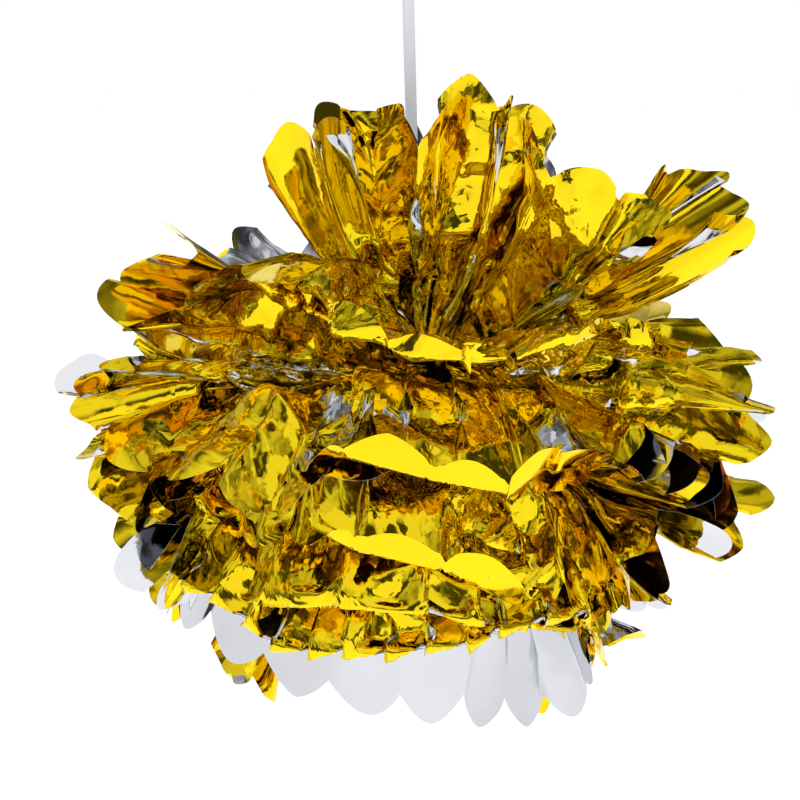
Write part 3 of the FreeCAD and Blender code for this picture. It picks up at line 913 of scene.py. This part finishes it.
def make_loop():
    """The hanging loop, narrow at its knot and round at the hook."""
    middle, half = cad_box("hanging_loop")
    radius = half[0] - RIBBON_THICKNESS
    straight = 2 * (half[2] - radius - RIBBON_THICKNESS)
    around = np.linspace(-math.pi / 2, 3 * math.pi / 2, 120)
    x = radius * np.cos(around)
    z = radius * np.sin(around) + np.sign(np.sin(around)) * straight / 2
    narrow = 1 - 0.55 * np.clip(-np.sin(around), 0, 1) ** 2
    path = np.stack([x * narrow, 0 * x, z], axis=1) + middle
    widthways = np.tile([0.0, 1.0, 0.0], (len(path), 1))
    loop = strip("ribbon_loop", path, widthways, RIBBON_WIDTH, 0.0002)
    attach(loop, "loop")
    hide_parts("hanging_loop")
    return loop


def make_knot(node, name, body):
    """A small overhand knot: three bands of ribbon wrapped round each other."""
    middle, half = cad_box(node)
    turns = np.linspace(0, 2 * math.pi, 48)
    pieces = []
    for tilt, size, twist in ((0.25, 0.92, 0.0), (-0.5, 0.82, 1.1), (1.15, 0.78, 2.2)):
        ring = np.stack([np.cos(turns), np.sin(turns), 0.3 * np.sin(turns + twist)], axis=1)
        tilt_matrix = np.array(
            [
                [math.cos(tilt), 0, -math.sin(tilt)],
                [0, 1, 0],
                [math.sin(tilt), 0, math.cos(tilt)],
            ]
        )
        path = (ring @ tilt_matrix.T) * half * size * 0.86 + middle
        widthways = np.tile(tilt_matrix @ np.array([0, 0, 1.0]), (len(path), 1))
        pieces.append(strip(f"{name}_band", path, widthways, half[2] * 1.1, 0.0006))
    knot = joined(pieces)
    knot.name = name
    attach(knot, body)
    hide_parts(node)
    return knot


def make_tie():
    """Two turns of wire round the stack, with their ends twisted together below it."""
    middle, half = cad_box("tie_wire")
    half = half - WIRE_RADIUS
    turns = np.linspace(0, 4 * math.pi, 160)
    power = 0.35  # rounds the corners of the turns, which follow the stack's box
    x = np.sign(np.cos(turns)) * np.abs(np.cos(turns)) ** power * half[0]
    z = np.sign(np.sin(turns)) * np.abs(np.sin(turns)) ** power * half[2]
    y = np.linspace(-WIRE_RADIUS, WIRE_RADIUS, len(turns))
    tie = wire("tie_wire_turns", np.stack([x, y, z], axis=1) + middle)
    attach(tie, "core")
    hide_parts("tie_wire")

    middle, half = cad_box("wire_twist")
    down = np.linspace(middle[2] + half[2], middle[2] - half[2], 60)
    strands = []
    for start in (0, math.pi):
        turn = start + np.linspace(0, 7 * math.pi, len(down))
        aside = WIRE_RADIUS * 1.05
        strand = np.stack([aside * np.cos(turn), aside * np.sin(turn), down], axis=1)
        strand[:, :2] += middle[:2]
        strands.append(wire("wire_tails", strand))
    tails = joined(strands)
    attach(tails, "core")
    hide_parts("wire_twist")


def make_waist(number):
    """The gathered middle of one film: pleats pressed together, nipped by the wire."""
    node = f"waist_{number}"
    middle, half = cad_box(node)
    around = np.linspace(0, 2 * math.pi, 96, endpoint=False)
    along = np.linspace(-1, 1, 13)
    ripple = 1 - 0.14 * (0.5 + 0.5 * np.cos(around * 32))
    x = np.sign(np.cos(around)) * np.abs(np.cos(around)) ** 0.25
    z = np.sign(np.sin(around)) * np.abs(np.sin(around)) ** 0.25 * ripple
    nip = 1 - 0.06 * np.exp(-((along / 0.25) ** 2))
    points = np.stack(
        [
            middle + half * np.stack([x * n, np.full_like(x, y), z * n], axis=1)
            for y, n in zip(along, nip)
        ]
    )
    faces = tube_faces(len(along), len(around))
    waist = new_object(f"gathered_waist_{number}", points.reshape(-1, 3), faces, [GOLD])
    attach(waist, "core")
    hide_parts(node)


ribbon, ribbon_path = make_ribbon()
loop = make_loop()
upper_knot = make_knot("loop_knot", "ribbon_upper_knot", "upper_knot")
make_knot("ribbon_knot", "ribbon_lower_knot", "core")
make_tie()
for number in range(1, SHEETS + 1):
    make_waist(number)


# ---------------------------------------------------------------- studio


def make_world():
    """A white studio with dark gaps between its panels, seen by the foil as reflections."""
    world = bpy.data.worlds.new("studio")
    bpy.context.scene.world = world
    world.use_nodes = True
    nodes, links = world.node_tree.nodes, world.node_tree.links
    place = nodes.new("ShaderNodeTexCoord").outputs["Generated"]

    def toward(direction):
        return vector_math(nodes, links, "DOT_PRODUCT", place, direction).outputs["Value"]

    def total(first, second):
        added = nodes.new("ShaderNodeMath")
        links.new(first, added.inputs[0])
        links.new(second, added.inputs[1])
        return added.outputs[0]

    # How bright each direction is: patches, a panel before the ball, one over it, and shade to
    # the lower right.
    zones = noise(nodes, links, place, 1.9, 1.0).outputs["Fac"]
    panel = mapped(nodes, links, toward((0.1, -0.8, 0.6)), 0.86, 0.93, 0, 0.25)
    height = nodes.new("ShaderNodeSeparateXYZ")
    links.new(place, height.inputs[0])
    overhead = mapped(nodes, links, height.outputs["Z"], 0.45, 0.85, 0, 0.10)
    shade = mapped(nodes, links, toward((0.8, -0.33, -0.5)), 0.35, 0.85, 0, -0.10)
    level = total(zones, total(total(panel, overhead), shade))
    ramp = nodes.new("ShaderNodeValToRGB")
    dark, light = ramp.color_ramp.elements
    dark.position, dark.color = 0.43, (0.05, 0.05, 0.055, 1)
    light.position, light.color = 0.73, (1.0, 1.0, 1.0, 1)
    ramp.color_ramp.elements.new(0.53).color = (0.27, 0.27, 0.28, 1)
    links.new(level, ramp.inputs["Fac"])

    reflected = nodes["Background"]
    links.new(ramp.outputs["Color"], reflected.inputs["Color"])
    reflected.inputs["Strength"].default_value = 1.0
    plain = nodes.new("ShaderNodeBackground")
    plain.inputs["Color"].default_value = (1, 1, 1, 1)
    plain.inputs["Strength"].default_value = 1.0
    mix = nodes.new("ShaderNodeMixShader")
    links.new(nodes.new("ShaderNodeLightPath").outputs["Is Camera Ray"], mix.inputs["Fac"])
    links.new(reflected.outputs[0], mix.inputs[1])
    links.new(plain.outputs[0], mix.inputs[2])
    links.new(mix.outputs[0], nodes["World Output"].inputs["Surface"])


def make_light(name, place, size, power):
    """A soft light aimed at the ball, which the foil doesn't mirror."""
    data = bpy.data.lights.new(name, "AREA")
    data.size = size
    data.energy = power
    light = bpy.data.objects.new(name, data)
    light.location = place
    light.visible_glossy = False
    aim = Vector(HUB) - Vector(place)
    light.rotation_euler = aim.to_track_quat("-Z", "Y").to_euler()
    bpy.context.collection.objects.link(light)


def make_floor():
    """A wide pale floor, bright enough to merge with the white background."""
    corners = [
        (x * FLOOR_HALF, y * FLOOR_HALF, -FLOOR_DROP) for x, y in ((-1, -1), (1, -1), (1, 1), (-1, 1))
    ]
    material, _, _, shader = new_material("floor", 0.0, 0.9, (0.9, 0.9, 0.9))
    shader.inputs["Emission Color"].default_value = (1, 1, 1, 1)
    shader.inputs["Emission Strength"].default_value = 0.7
    floor = new_object("floor", corners, [(0, 1, 2, 3)], [material])


def make_camera():
    """The photograph's view: a long lens, a little above the ball."""
    data = bpy.data.cameras.new("camera")
    data.sensor_width = 36
    data.lens = data.sensor_width * CAMERA_DISTANCE / PICTURE_WIDTH
    camera = bpy.data.objects.new("camera", data)
    aim = Vector(HUB) + Vector(AIM_OFFSET)
    away = Vector((0, -math.cos(CAMERA_LIFT), math.sin(CAMERA_LIFT)))
    camera.location = aim + CAMERA_DISTANCE * away
    camera.rotation_euler = (aim - camera.location).to_track_quat("-Z", "Y").to_euler()
    bpy.context.collection.objects.link(camera)
    bpy.context.scene.camera = camera


make_world()
make_light("key", (-0.9, -0.9, 0.6), 0.4, 4.5)
make_light("fill", (1.1, -0.6, 0.1), 0.4, 3)
make_light("rim", (0.3, 1.1, 0.7), 0.6, 5)
make_floor()
make_camera()
bpy.context.scene.view_settings.view_transform = "Standard"
